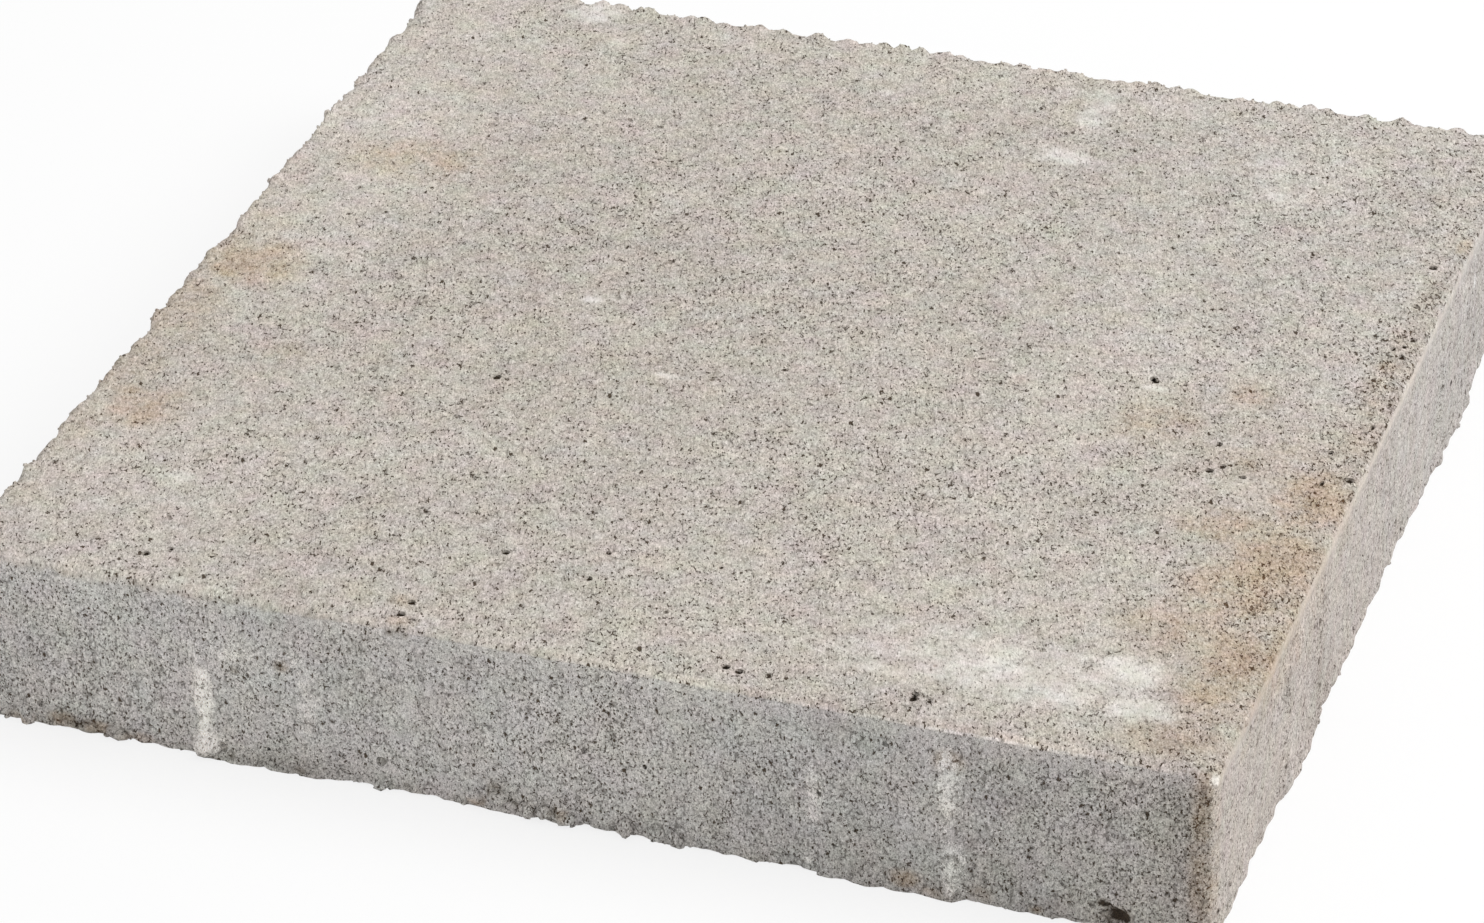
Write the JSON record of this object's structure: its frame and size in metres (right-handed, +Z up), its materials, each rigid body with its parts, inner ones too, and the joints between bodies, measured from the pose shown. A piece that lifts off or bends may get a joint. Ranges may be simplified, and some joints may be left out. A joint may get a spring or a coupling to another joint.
{
  "type": "concrete paving slab",
  "caption": "Square concrete paving slab with a rolled top arris and moulded spacer pads on its sides, laid flat as a path, patio or terrace surface.",
  "frame": {"origin": "middle of the underside, on the surface that the slab lies on", "axes": "+Z up through the thickness, towards the wear face; +X and +Y along the sides"},
  "size_m": [0.3, 0.3, 0.045],
  "materials": {
    "concrete": "rough dry-cast concrete, open fine grain"
  },
  "bodies": {
    "root": {"paving_slab": "concrete"}
  },
  "joints": []
}
